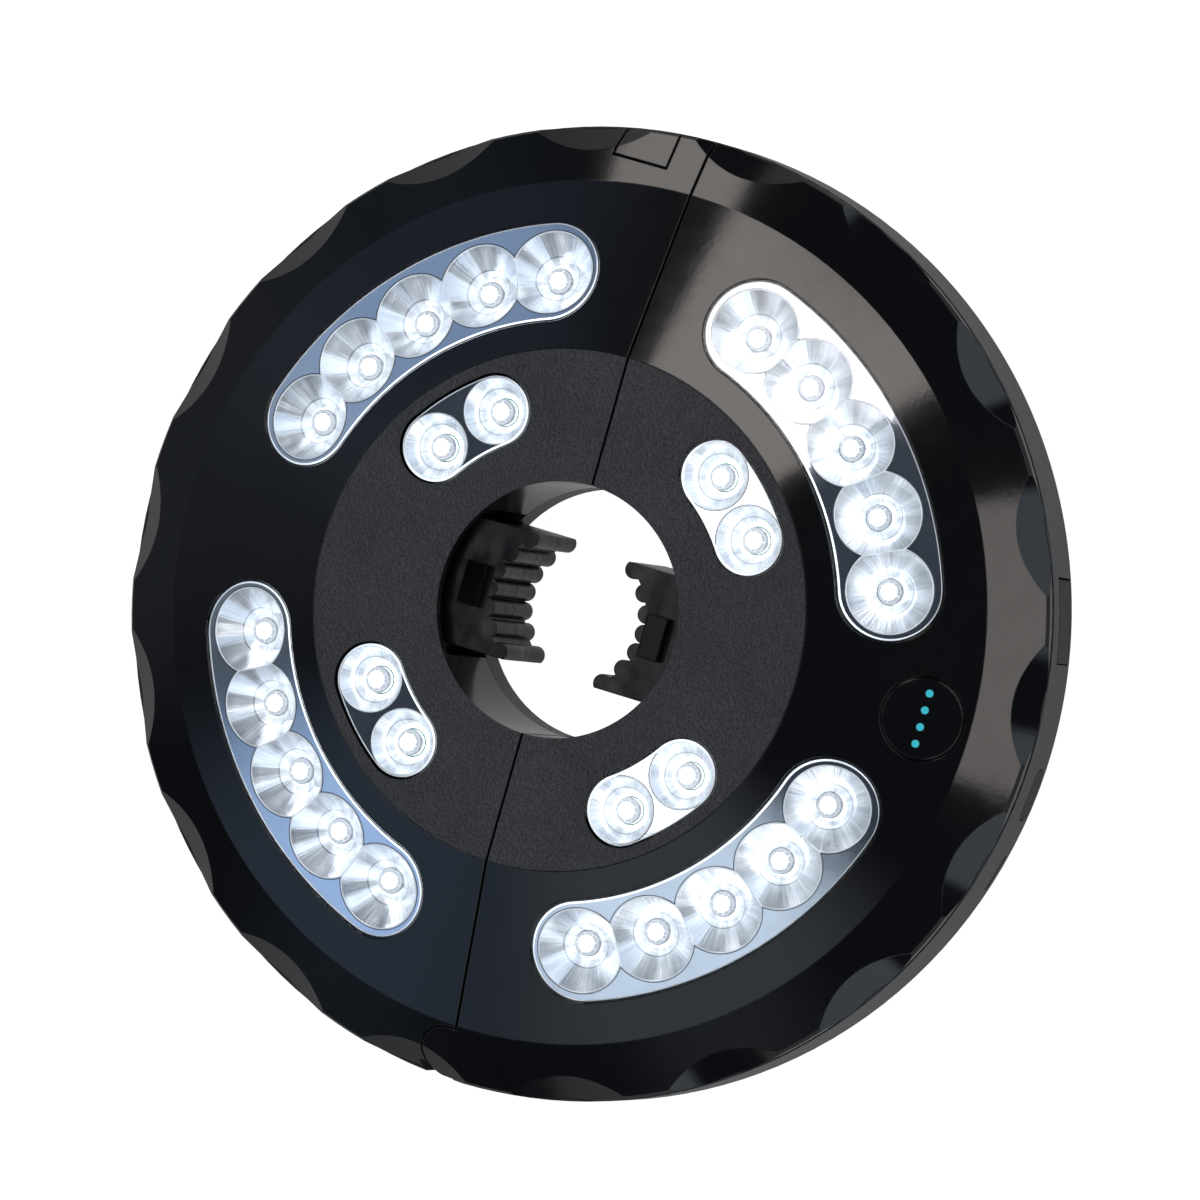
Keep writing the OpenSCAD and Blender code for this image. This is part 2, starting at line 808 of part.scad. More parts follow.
// Outline of a jaw about +X: a block whose front edge carries the ridges
module jaw_outline() {
    n = (ridges - 1) / 2;
    ridge_x = [for (i = [-n:n]) sqrt(grip_r * grip_r - pow(i * ridge_pitch, 2)) + ridge_r];
    intersection() {
        union() {
            for (i = [-n:n])
                translate([ridge_x[i + n], i * ridge_pitch]) circle(ridge_r);
            polygon(concat([for (i = [-n:n]) [ridge_x[i + n], i * ridge_pitch]],
                [[ridge_x[2 * n] + 1, jaw_hw + over], [jaw_back, jaw_hw + over],
                [jaw_back, -jaw_hw - over], [ridge_x[0] + 1, -jaw_hw - over]]));
        }
        translate([0, -jaw_hw]) square([jaw_back, 2 * jaw_hw]);
    }
}

module jaw_front(side) {
    color(gloss_black) to_side(side) {
        translate([0, 0, jaw_part_h + jaw_seam / 2])
            linear_extrude(jaw_top - jaw_part_h - jaw_seam / 2) jaw_outline();
        translate([tab_x, -tab_hw, jaw_top - 0.5]) cube([tab_l, 2 * tab_hw, tab_top - jaw_top + 0.5]);
    }
}

module jaw_back_half(side) {
    color(gloss_black) to_side(side) {
        translate([0, 0, jaw_bottom])
            linear_extrude(jaw_part_h - jaw_seam / 2 - jaw_bottom) jaw_outline();
        // peg that the spring sits on
        translate([jaw_back - 1, 0, spring_h - spring_peg_r - jaw_seam])
            rotate([0, 90, 0]) cylinder(r = spring_peg_r, h = 4);
    }
}

// Coil spring from 0 to length along +Z
module coil(r, wire, length, turns) {
    sides = 6;
    steps = 12;
    n = turns * steps;
    points = [for (i = [0:n]) let (a = i * 360 / steps, z = wire / 2 + (length - wire) * i / n)
        for (k = [0:sides - 1]) let (b = k * 360 / sides, q = r + wire / 2 * cos(b))
            [q * cos(a), q * sin(a), z + wire / 2 * sin(b)]];
    skin = [for (i = [0:n - 1], k = [0:sides - 1]) let (m = (k + 1) % sides)
        [i * sides + k, i * sides + m, (i + 1) * sides + m, (i + 1) * sides + k]];
    ends = [[for (k = [sides - 1:-1:0]) k], [for (k = [0:sides - 1]) n * sides + k]];
    polyhedron(points, concat(skin, ends));
}

module jaw_spring(side) {
    color(steel) to_side(side)
        translate([jaw_back + fit_gap, 0, spring_h - spring_peg_r - jaw_seam])
            rotate([0, 90, 0])
                coil(spring_coil_r, spring_wire, spring_end - jaw_back - 2 * fit_gap, spring_turns);
}

// ---- hinge and latch ----

module hinge_pin() {
    color(steel) at_pin(pin_r, 1.6, pin_top);
}

module button_block(grow) {
    translate([-button_x - button_w / 2 - grow, button_in - grow, 0])
        cube([button_w + 2 * grow, rim_r, total_h]);
}

module button_opening() {
    intersection() {
        button_block(button_gap);
        translate([-rim_r, 0, parting_h - over]) cube([2 * rim_r, 2 * rim_r, total_h]);
    }
}

module latch_button() {
    color(gloss_black) {
        intersection() {
            crown_form();
            button_block(0);
            translate([-rim_r, 0, button_bottom]) cube([2 * rim_r, rim_r, total_h]);
        }
        // stem, and the catch under the tongue
        translate([-button_x - stem_w / 2, button_in, stem_bottom])
            cube([stem_w, stem_l, button_bottom + 1.5 - stem_bottom]);
        translate([-button_x - stem_w / 2, tongue_y + 0.5, catch_h - 2])
            cube([stem_w + 3.5, button_in + 1 - tongue_y - 0.5, 2]);
    }
}

module latch_spring() {
    color(steel) translate([-button_x, button_in + stem_l / 2, wall + fit_gap])
        coil(latch_coil_r, spring_wire, stem_bottom - wall - 2 * fit_gap, 4);
}

// Two plates beside the spring and the stem
module latch_guide() {
    guide_t = 1.4;
    for (x = [-button_x - stem_w / 2 - seat_gap - guide_t, -button_x + stem_w / 2 + seat_gap])
        translate([x, button_in, wall - 0.2])
            cube([guide_t, stem_l, x < -button_x ? 11 : 4.6]);
}

// Ways for the tongue through the two walls along the split
module tongue_window() {
    translate([-split_in - over, tongue_y - 0.8, tongue_h - 1.8])
        cube([split_in + over, tongue_w + 1.6, tongue_t + 2.6]);
}

module tongue_slot() {
    translate([0, tongue_y - fit_gap, tongue_h - fit_gap])
        cube([split_in + over, tongue_w + 2 * fit_gap, tongue_t + 2 * fit_gap]);
}

module latch_tongue() {
    color(satin_black) {
        translate([-tongue_reach, tongue_y, tongue_h])
            cube([tongue_reach + split_in + 2, tongue_w, tongue_t]);
        translate([-tongue_reach, tongue_y, catch_h + seat_gap])
            cube([1.5, tongue_w, tongue_h - catch_h]);
        translate([split_in + fit_gap, tongue_y - 4, tongue_h - 4])
            cube([2, tongue_w + 8, parting_h - tongue_h + 3.5]);
    }
}

// ---- power button, boards and ports ----

// Frame on the lamp band at the power button, its +Z out of the band
module at_power() {
    translate([power_x, 0, power_h]) rotate([0, band_slope, 0]) children();
}

module power_button_opening() {
    at_power() {
        translate([0, 0, -2 * wall]) cylinder(r = power_r + power_gap, h = 4 * wall);
        // room under the cover for the flange
        translate([0, 0, -wall - 6]) cylinder(r = power_r + power_flange + 0.4, h = 6 - fit_gap);
    }
}

module power_button() {
    color(gloss_black) at_power() {
        difference() {
            union() {
                translate([0, 0, -wall - 0.6]) cylinder(r = power_r - 0.25, h = wall + 0.6);
                translate([0, 0, -wall - 0.6]) cylinder(r = power_r, h = wall + 0.4);
                translate([0, 0, -power_foot]) cylinder(r = foot_r, h = power_foot - 1);
                translate([0, 0, -wall - fit_gap - power_flange_t - 0.1])
                    cylinder(r = power_r + power_flange, h = power_flange_t);
            }
            for (i = [-1.5:1.5]) translate([0, i * dot_pitch, -power_t])
                cylinder(r = dot_r + 0.02, h = 2 * power_t);
            // hollow under the cap
            difference() {
                translate([0, 0, -2 * wall]) cylinder(r = power_r - 1.5, h = 2 * wall - power_t - 0.4);
                translate([0, 0, -power_foot]) cylinder(r = foot_r, h = 2 * wall);
            }
        }
    }
}

module gauge_dots() {
    color(dot_cyan) at_power()
        for (i = [-1.5:1.5]) translate([0, i * dot_pitch, -power_t]) cylinder(r = dot_r, h = power_t + 0.05);
}

module power_switch() {
    color(steel) translate([power_x - 1.2 - switch_w / 2, -switch_w / 2, outer_board_top])
        cube([switch_w, switch_w, switch_h]);
}

// Main board; each of its parts has its corner's place, then its length, width and height
module main_board() {
    parts = [[4, 6, 9, 9, 2], [4, 22, 6, 7, 1.6], [5, 38, 8, 12, 4.5], [17, 4, 6, 5, 3]];
    color(board_green) rotate(main_board_turn)
        translate([rim_r - main_board_in - main_board_l, main_board_shift - main_board_w / 2, 0]) {
            translate([0, 0, main_board_h]) cube([main_board_l, main_board_w, board_t]);
            for (p = parts)
                translate([p[0], p[1], main_board_h + board_t - 0.1]) cube([p[2], p[3], p[4]]);
            for (x = [board_foot_in, main_board_l - board_foot_in - 3],
                y = [board_foot_in, main_board_w - board_foot_in])
                translate([x, y, wall]) cylinder(r = 1.2, h = main_board_h - wall + 0.1);
        }
}

// Frame at the side band in a direction, its +X outward
module at_band(angle, z) {
    rotate(angle) translate([rim_r, 0, z]) children();
}

// Thicker wall behind the two ports
module right_base_details() {
    intersection() {
        difference() {
            translate([0, 0, wall - 0.2]) cylinder(r = rim_r - wall + 0.5, h = parting_h - wall - 0.3);
            cylinder(r = rim_r - port_depth - wall, h = parting_h);
        }
        union() {
            rotate(socket_angle) translate([0, -flap_l / 2 - 2.5, 0]) cube([rim_r, flap_l + 5, parting_h]);
            rotate(charge_angle) translate([0, -plug_l / 2 - 2.5, 0]) cube([rim_r, plug_l + 5, parting_h]);
        }
    }
}

// Part of the side band's skin between two radii, behind a flat outline in the Y-Z plane
module band_skin(out_r, in_r, angle, z) {
    intersection() {
        difference() {
            cylinder(r = out_r, h = parting_h);
            translate([0, 0, -over]) cylinder(r = in_r, h = parting_h + 2 * over);
        }
        at_band(angle, z) rotate([90, 0, 90]) translate([0, 0, -20]) linear_extrude(40) children();
    }
}

module flap_outline(gap) {
    square([flap_l + 2 * gap, flap_h + 2 * gap], center = true);
}

module plug_outline(gap) {
    w = plug_l - plug_h;
    square([w, plug_h + 2 * gap], center = true);
    for (s = [-1, 1]) translate([s * w / 2, 0]) circle(plug_h / 2 + gap);
}

module port_cuts() {
    band_skin(rim_r + over, rim_r - port_depth, socket_angle, flap_z) flap_outline(0.3);
    band_skin(rim_r + over, rim_r - port_depth, charge_angle, plug_z) plug_outline(0.3);
    // ways through to the sockets
    at_band(socket_angle, flap_z) translate([-14, -7.2, -3.4]) cube([14, 14.4, 6.8]);
    at_band(charge_angle, plug_z) translate([-9, -4.1, -1.7]) cube([9, 8.2, 3.4]);
    // vent slit
    at_band(slit_angle, slit_z) translate([-2 * wall, -slit_l / 2, -slit_h / 2])
        cube([3 * wall, slit_l, slit_h]);
}

// Sheet metal shell of a socket, open outward, with its tongue
module socket_shell(l, w, h, tongue) {
    difference() {
        translate([-l, -w / 2, -h / 2]) cube([l, w, h]);
        translate([-l + 0.5, -w / 2 + 0.4, -h / 2 + 0.4]) cube([l, w - 0.8, h - 0.8]);
    }
    translate([-l, -w / 2 + 1.2, -tongue / 2]) cube([l - 1.5, w - 2.4, tongue]);
}

module power_socket() {
    color(steel) rotate(socket_angle) translate([rim_r - port_depth - 0.4, 0, flap_z])
        socket_shell(12, 13.2, 5.8, 1.6);
}

module charge_socket() {
    color(steel) rotate(charge_angle) translate([rim_r - port_depth - 0.4, 0, plug_z])
        socket_shell(8, 7.6, 2.8, 0.5);
}

// Rubber flap: its rolled end is the hinge, at the end further from the power button
module socket_cover() {
    hinge_y = flap_l / 2 - flap_t / 2;
    hinge_r = rim_r - flap_t / 2;
    color(rubber_grey) {
        band_skin(rim_r, rim_r - flap_t, socket_angle, flap_z)
            translate([-flap_l / 2, -flap_h / 2]) square([flap_l - flap_t / 2, flap_h]);
        rotate(socket_angle + asin(hinge_y / hinge_r)) translate([hinge_r, 0, flap_z - flap_h / 2])
            cylinder(r = flap_t / 2, h = flap_h);
    }
}

module charge_plug() {
    color(rubber_grey) band_skin(rim_r, rim_r - plug_t, charge_angle, plug_z) plug_outline(0);
}

front_cover(LEFT);  // left_front_cover
back_cover(LEFT);  // left_back_cover
centre_ring(LEFT);  // left_centre_ring
outer_windows(LEFT);  // left_outer_windows
inner_windows(LEFT);  // left_inner_windows
outer_reflectors(LEFT);  // left_outer_reflectors
inner_reflectors(LEFT);  // left_inner_reflectors
outer_lamps(LEFT);  // left_outer_lamps
inner_lamps(LEFT);  // left_inner_lamps
outer_board(LEFT);  // left_outer_board
inner_boards(LEFT);  // left_inner_boards
screws(LEFT);  // left_screws
battery_cells();
battery_cradle();
latch_button();
latch_spring();
jaw_front(LEFT);  // left_jaw_front
jaw_back_half(LEFT);  // left_jaw_back
jaw_spring(LEFT);  // left_jaw_spring
front_cover(RIGHT);  // right_front_cover
back_cover(RIGHT);  // right_back_cover
centre_ring(RIGHT);  // right_centre_ring
outer_windows(RIGHT);  // right_outer_windows
inner_windows(RIGHT);  // right_inner_windows
outer_reflectors(RIGHT);  // right_outer_reflectors
inner_reflectors(RIGHT);  // right_inner_reflectors
outer_lamps(RIGHT);  // right_outer_lamps
inner_lamps(RIGHT);  // right_inner_lamps
outer_board(RIGHT);  // right_outer_board
inner_boards(RIGHT);  // right_inner_boards
screws(RIGHT);  // right_screws
hinge_pin();
latch_tongue();
main_board();
power_switch();
power_socket();
charge_socket();
power_button();
gauge_dots();
socket_cover();
charge_plug();
jaw_front(RIGHT);  // right_jaw_front
jaw_back_half(RIGHT);  // right_jaw_back
jaw_spring(RIGHT);  // right_jaw_spring
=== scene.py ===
"""Looks of the patio umbrella light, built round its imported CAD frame."""

import json
import math

import bpy
from mathutils import Matrix, Vector


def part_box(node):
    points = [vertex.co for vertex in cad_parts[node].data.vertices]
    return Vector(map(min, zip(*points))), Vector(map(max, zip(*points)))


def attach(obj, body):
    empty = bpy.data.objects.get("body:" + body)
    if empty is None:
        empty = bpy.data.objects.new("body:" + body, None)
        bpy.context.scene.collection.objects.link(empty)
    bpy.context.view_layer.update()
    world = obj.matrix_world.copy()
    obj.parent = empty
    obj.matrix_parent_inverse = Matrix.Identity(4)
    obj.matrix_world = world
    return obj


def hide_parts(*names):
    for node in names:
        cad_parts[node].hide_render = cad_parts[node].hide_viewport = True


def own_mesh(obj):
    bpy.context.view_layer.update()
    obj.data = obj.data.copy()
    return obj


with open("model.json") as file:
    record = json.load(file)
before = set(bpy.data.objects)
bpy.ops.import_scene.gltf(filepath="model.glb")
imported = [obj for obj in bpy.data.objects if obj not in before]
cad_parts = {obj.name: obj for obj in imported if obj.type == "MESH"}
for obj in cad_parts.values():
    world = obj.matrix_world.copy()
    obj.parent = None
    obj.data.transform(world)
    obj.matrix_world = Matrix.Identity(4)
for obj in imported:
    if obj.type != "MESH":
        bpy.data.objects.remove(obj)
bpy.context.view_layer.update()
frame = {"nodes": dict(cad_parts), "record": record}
NODES = frame["nodes"]
MM = 0.001

# ---------------------------------------------------------------- sizes, in millimetres
TOTAL_H = 36.0
HOLE_R = 29.0
COLLAR_R = 31.2
RING_R = 58.9
BAND_R = 98.0
BEVEL_SLOPE = math.radians(22)
BAND_SLOPE = math.radians(15.4)
CLUSTER_TURNS = (math.radians(45), math.radians(-45))
SIDES = (("left_half", math.pi), ("right_half", 0.0))
CUP_DROP = 0.8
CUP_HOLE_R = 3.5
CUP_REACH = 6.3
# radius of the painted reflection of the lens in each cup
PAINTED_LENS_REFLECTION_R = 5.25
LENS_R = 3.0
LENS_H = 3.4
JAW_TOP = 30.0
WIRE = 0.7
HALF_GAP = 0.3
LIP_DROP = 2.4
LIP_T = 2.0
LIP_CLEAR = 0.02
LIP_LOW_Z = 0.8
LIP_END_AT_LATCH = 104.0
LIP_END_AT_HINGE = 96.0

# ---------------------------------------------------------------- camera
PHOTO_PX = 1200
SENSOR_MM = 36.0
VIEW_TILT = 0.344084376
VIEW_TURN = 0.164425057
VIEW_ROLL = 0.275240922
VIEW_DISTANCE = 1892.0
PX_PER_MM = 4.40300734
CENTRE_X_PX = -19.0137175
CENTRE_Y_PX = -12.4260552
AIM_Z = 20.0


def make_camera():
    """Camera fitted to the rim, the ring, the hole and the lamps of the photograph."""
    out = Vector((math.sin(VIEW_TILT) * math.cos(VIEW_TURN),
                  math.sin(VIEW_TILT) * math.sin(VIEW_TURN), math.cos(VIEW_TILT)))
    right0 = Vector((0, 1, 0)).cross(out).normalized()
    up0 = out.cross(right0)
    right = math.cos(VIEW_ROLL) * right0 + math.sin(VIEW_ROLL) * up0
    up = -math.sin(VIEW_ROLL) * right0 + math.cos(VIEW_ROLL) * up0
    place = (VIEW_DISTANCE * out - CENTRE_X_PX / PX_PER_MM * right
             - CENTRE_Y_PX / PX_PER_MM * up + Vector((0, 0, AIM_Z)))
    data = bpy.data.cameras.new("camera")
    data.sensor_width = SENSOR_MM
    data.lens = PX_PER_MM * VIEW_DISTANCE / PHOTO_PX * SENSOR_MM
    data.clip_start = 0.05
    data.clip_end = 50
    camera = bpy.data.objects.new("camera", data)
    camera.matrix_world = Matrix((
        (right.x, up.x, out.x, place.x * MM), (right.y, up.y, out.y, place.y * MM),
        (right.z, up.z, out.z, place.z * MM), (0, 0, 0, 1)))
    bpy.context.scene.collection.objects.link(camera)
    bpy.context.scene.camera = camera
    return camera


make_camera()
scene = bpy.context.scene
scene.view_settings.view_transform = "Standard"


# ---------------------------------------------------------------- materials
class Shader:
    """A node material with one Principled shader, and short names for adding nodes."""

    def __init__(self, name, **values):
        self.material = bpy.data.materials.new(name)
        self.material.use_nodes = True
        self.tree = self.material.node_tree
        self.bsdf = self.tree.nodes["Principled BSDF"]
        self.position = None
        for key, value in values.items():
            self.bsdf.inputs[key.replace("_", " ")].default_value = value

    def node(self, kind, **inputs):
        made = self.tree.nodes.new(kind)
        for key, value in inputs.items():
            made.inputs[key.replace("_", " ")].default_value = value
        return made

    def link(self, source, target):
        self.tree.links.new(source, target)

    def object_position(self):
        if self.position is None:
            self.position = self.node("ShaderNodeTexCoord").outputs["Object"]
        return self.position

    def noise(self, scale, detail=2.0, roughness=0.5, stretch=None):
        made = self.node("ShaderNodeTexNoise", Scale=scale, Detail=detail, Roughness=roughness)
        place = self.object_position()
        if stretch:
            mapping = self.node("ShaderNodeMapping", Scale=stretch)
            self.link(place, mapping.inputs["Vector"])
            place = mapping.outputs["Vector"]
        self.link(place, made.inputs["Vector"])
        return made.outputs["Fac"]

    def noise_at(self, place, scale, detail):
        """Noise over a made-up plane, given by its two coordinates."""
        joined = self.node("ShaderNodeCombineXYZ")
        self.link(place[0], joined.inputs["X"])
        self.link(place[1], joined.inputs["Y"])
        made = self.node("ShaderNodeTexNoise", Scale=scale, Detail=detail)
        self.link(joined.outputs["Vector"], made.inputs["Vector"])
        return made.outputs["Fac"]

    def surface_place(self):
        """The two coordinates that a cup or lens mesh carries: round it, and outward from its middle."""
        split = self.node("ShaderNodeSeparateXYZ")
        self.link(self.node("ShaderNodeTexCoord").outputs["UV"], split.inputs["Vector"])
        return split.outputs["X"], split.outputs["Y"]

    def cells(self, scale, feature="F1"):
        made = self.node("ShaderNodeTexVoronoi", Scale=scale)
        made.feature = feature
        self.link(self.object_position(), made.inputs["Vector"])
        return made.outputs["Distance"]

    def ramp(self, source, stops):
        made = self.node("ShaderNodeValToRGB")
        ramp = made.color_ramp
        while len(ramp.elements) < len(stops):
            ramp.elements.new(0.5)
        for element, (place, colour) in zip(ramp.elements, stops):
            element.position = place
            element.color = (*colour, 1) if len(colour) == 3 else colour
        self.link(source, made.inputs["Fac"])
        return made.outputs["Color"]

    def span(self, source, low, high, low_in=0.0, high_in=1.0):
        made = self.node("ShaderNodeMapRange")
        for key, value in (("From Min", low_in), ("From Max", high_in), ("To Min", low), ("To Max", high)):
            made.inputs[key].default_value = value
        self.link(source, made.inputs["Value"])
        return made.outputs["Result"]

    def math(self, operation, a, b=None):
        made = self.node("ShaderNodeMath")
        made.operation = operation
        for socket, value in zip(made.inputs, (a, b)):
            if value is None:
                continue
            if isinstance(value, (int, float)):
                socket.default_value = value
            else:
                self.link(value, socket)
        return made.outputs["Value"]

    def bump(self, height, strength, distance, edge=None, below=None):
        made = self.node("ShaderNodeBump", Strength=strength, Distance=distance)
        self.link(height, made.inputs["Height"])
        if below is not None:
            self.link(below, made.inputs["Normal"])
        elif edge:
            bevel = self.node("ShaderNodeBevel", Radius=edge)
            bevel.samples = 4
            self.link(bevel.outputs["Normal"], made.inputs["Normal"])
        return made.outputs["Normal"]

    def put(self, **sockets):
        for key, source in sockets.items():
            self.link(source, self.bsdf.inputs[key.replace("_", " ")])
        return self.material


def gloss_black():
    """Polished dark moulding with faint handling haze and softened edges."""
    s = Shader("gloss_black", IOR=1.5)
    haze = s.noise(60, 4, 0.6)
    colour = s.ramp(haze, [(0.3, (0.003, 0.003, 0.0036)), (0.75, (0.005, 0.0048, 0.0054))])
    return s.put(Base_Color=colour,
                 Roughness=s.span(s.noise(220, 3), 0.065, 0.115),
                 Normal=s.bump(s.noise(900, 2), 0.02, 0.0002, edge=0.00035))


def jaw_black():
    """Moulding of the jaws, duller than the crown."""
    s = Shader("jaw_black", IOR=1.42)
    swell = s.math("ADD", s.noise(75, 2), s.math("MULTIPLY", s.noise(1400, 2), 0.02))
    split = s.node("ShaderNodeSeparateXYZ")
    s.link(s.object_position(), split.inputs["Vector"])
    below_tab = s.math("LESS_THAN", split.outputs["Z"], (JAW_TOP + 0.3) * MM)
    dull = s.span(s.noise(110, 3), 0.14, 0.34, 0.3, 0.7)
    colour = s.ramp(s.noise(90, 4), [(0.3, (0.002, 0.002, 0.0025)), (0.7, (0.005, 0.005, 0.0055))])
    return s.put(Base_Color=colour,
                 Roughness=s.math("ADD", 0.04, s.math("MULTIPLY", dull, below_tab)),
                 Specular_IOR_Level=s.span(below_tab, 0.1, 0.45),
                 Normal=s.bump(s.math("MULTIPLY", swell, below_tab), 0.4, 0.0016, edge=0.0005))


def satin_black():
    """Spark finished side shell, a shade greyer than the crown."""
    s = Shader("satin_black", IOR=1.48)
    grain = s.noise(2600, 2, 0.6)
    colour = s.ramp(s.noise(35, 4), [(0.3, (0.02, 0.0205, 0.0215)), (0.7, (0.03, 0.03, 0.0315))])
    return s.put(Base_Color=colour,
                 Roughness=s.span(s.noise(400, 2), 0.32, 0.42),
                 Normal=s.bump(grain, 0.12, 0.0001, edge=0.0003))


def grained_black():
    """Ring with a finely grained matt face; below that face, the wall of the hole is polished."""
    s = Shader("grained_black", IOR=1.5)
    pebbles = s.cells(1600)
    mix = s.math("ADD", s.math("MULTIPLY", pebbles, 0.7), s.math("MULTIPLY", s.noise(2600, 3, 0.65), 0.6))
    split = s.node("ShaderNodeSeparateXYZ")
    s.link(s.object_position(), split.inputs["Vector"])
    on_face = s.math("GREATER_THAN", split.outputs["Z"], (TOTAL_H - 0.1) * MM)
    matt = s.span(s.noise(700, 2), 0.5, 0.62)
    cloud = s.span(s.noise(45, 5, 0.6), 0.028, 0.046, 0.25, 0.8)
    shade = s.math("MULTIPLY", cloud, s.span(on_face, 0.15, 1.0))
    shade = s.math("MULTIPLY", shade, s.span(mix, 0.45, 1.6, 0.2, 0.85))
    return s.put(Base_Color=s.ramp(shade, [(0.0, (0, 0, 0)), (1.0, (1, 1, 1.04))]),
                 Roughness=s.math("ADD", s.math("MULTIPLY", on_face, s.math("SUBTRACT", matt, 0.12)), 0.12),
                 Normal=s.bump(s.math("MULTIPLY", mix, on_face), 0.9, 0.0005, edge=0.0003))


def clear_window():
    """Clear moulded window with a faint swirl in its faces."""
    s = Shader("clear_window", Base_Color=(0.97, 0.985, 1, 1), IOR=1.3, Transmission_Weight=1.0)
    return s.put(Roughness=s.span(s.noise(150, 3), 0.0, 0.02),
                 Normal=s.bump(s.noise(140, 2), 0.015, 0.0003))


def silvered():
    """Thinly silvered plate between the cups."""
    s = Shader("silvered", Metallic=1.0)
    return s.put(Base_Color=s.ramp(s.noise(90, 3), [(0.3, (0.72, 0.76, 0.82)), (0.7, (0.82, 0.86, 0.92))]),
                 Roughness=s.span(s.noise(300, 3), 0.04, 0.09),
                 Normal=s.bump(s.noise(320, 2), 0.03, 0.0003))


def painted_shade_step():
    """Painted shade: a dark colour on the small step round a cup, standing in for the line of shade that
    the step shows in the silvered plate.
    """
    s = Shader("painted_shade_step", Metallic=0.5)
    return s.put(Base_Color=s.ramp(s.noise(300, 2), [(0.3, (0.03, 0.035, 0.05)), (0.7, (0.1, 0.11, 0.13))]),
                 Roughness=s.span(s.noise(500, 2), 0.2, 0.4))


def lamp_chip():
    """Lit body of a lamp, bluish white."""
    s = Shader("lamp_chip", Base_Color=(0.95, 0.97, 1, 1), Roughness=0.2,
               Emission_Color=(0.86, 0.93, 1.0, 1))
    return s.put(Emission_Strength=s.span(s.noise(900, 2), 2.0, 3.0))


def lamp_lens():
    """Lit lens: a white hot middle, then rings and rays towards its edge."""
    s = Shader("lamp_lens", Base_Color=(0.25, 0.27, 0.3, 1), Roughness=0.12,
               Emission_Color=(0.88, 0.94, 1.0, 1))
    along, out = s.surface_place()
    rays = s.noise_at((s.math("MULTIPLY", along, 30.0), s.math("MULTIPLY", out, 1.5)), 1.0, 2)
    rings = s.math("SINE", s.math("MULTIPLY", out, 24.0))
    core = s.math("POWER", s.math("SUBTRACT", 1.0, out), s.span(rays, 1.7, 4.4, 0.3, 0.7))
    level = s.math("ADD", s.math("MULTIPLY", core, 13.0), s.math("MULTIPLY", rays, 0.7))
    return s.put(Emission_Strength=s.math("ADD", level, s.math("MULTIPLY", rings, 0.16)))


def silvered_cup():
    """Silvered inside of a cup with painted light: an emission glow in fine rays from lamp to rim stands in
    for the lamp's light on the cup, with a painted reflection of the lens round its foot, edged by a
    painted dark line.
    """
    s = Shader("silvered_cup", Metallic=0.86, Emission_Color=(0.86, 0.93, 1.0, 1))
    along, out = s.surface_place()
    rays = s.noise_at((s.math("MULTIPLY", along, 90.0), s.math("MULTIPLY", out, 0.6)), 1.0, 3)
    wide = s.noise_at((s.math("MULTIPLY", along, 12.0), s.math("MULTIPLY", out, 0.4)), 1.0, 2)
    both = s.math("ADD", s.math("MULTIPLY", rays, 0.4), s.math("MULTIPLY", wide, 0.6))
    # painted light: emission that stands in for the lamp's light on the cup, fading from lamp to rim
    painted_glow = s.math("MULTIPLY", s.span(both, 0.15, 0.64, 0.3, 0.7), s.span(out, 1.3, 0.4))
    # painted reflection of the lens: a brighter glow inside it, dimmed to a painted dark line at its edge
    painted_reflection_edge = (PAINTED_LENS_REFLECTION_R - CUP_HOLE_R) / CUP_REACH
    in_painted_reflection = s.math("LESS_THAN", out, painted_reflection_edge)
    on_painted_dark_line = s.math("LESS_THAN", s.math("ABSOLUTE", s.math("SUBTRACT", out, painted_reflection_edge)), 0.022)
    painted_glow = s.math("MULTIPLY", painted_glow, s.math("ADD", 1.0, s.math("MULTIPLY", in_painted_reflection, 0.4)))
    painted_glow = s.math("MULTIPLY", painted_glow, s.span(on_painted_dark_line, 1.0, 0.25))
    return s.put(Roughness=s.span(rays, 0.07, 0.18), Emission_Strength=painted_glow,
                 Base_Color=s.ramp(wide, [(0.35, (0.6, 0.64, 0.7)), (0.6, (0.84, 0.87, 0.91))]),
                 Normal=s.bump(both, 0.35, 0.0004))


def bright_edge():
    """Rounded silvered edge with a painted highlight: an emission glow that stands in for the line of light
    along it.
    """
    s = Shader("bright_edge", Metallic=0.45, Base_Color=(0.97, 0.985, 1, 1),
               Emission_Color=(0.85, 0.92, 1.0, 1))
    _, share = s.surface_place()
    # painted highlight: emission along the edge, stronger where the mesh's share is higher
    painted_glow = s.math("MULTIPLY", s.span(s.noise(160, 2), 0.6, 1.3), s.span(share, 0.18, 1.2))
    return s.put(Roughness=s.span(s.noise(500, 2), 0.08, 0.2), Emission_Strength=painted_glow)


def circuit_board():
    """Solder mask with a faint weave of tracks."""
    s = Shader("circuit_board", IOR=1.5, Roughness=0.35)
    tracks = s.node("ShaderNodeTexBrick", Scale=220.0)
    s.link(s.object_position(), tracks.inputs["Vector"])
    tracks.inputs["Color1"].default_value = (0.012, 0.07, 0.035, 1)
    tracks.inputs["Color2"].default_value = (0.015, 0.09, 0.045, 1)
    tracks.inputs["Mortar"].default_value = (0.03, 0.16, 0.08, 1)
    return s.put(Base_Color=tracks.outputs["Color"], Normal=s.bump(s.noise(1500, 2), 0.1, 0.0001))


def steel():
    """Bright drawn or turned steel."""
    s = Shader("steel", Metallic=1.0)
    return s.put(Base_Color=s.ramp(s.noise(250, 4), [(0.3, (0.5, 0.5, 0.51)), (0.7, (0.66, 0.66, 0.67))]),
                 Roughness=s.span(s.noise(1200, 3), 0.22, 0.36),
                 Normal=s.bump(s.noise(1800, 2), 0.08, 0.0001))


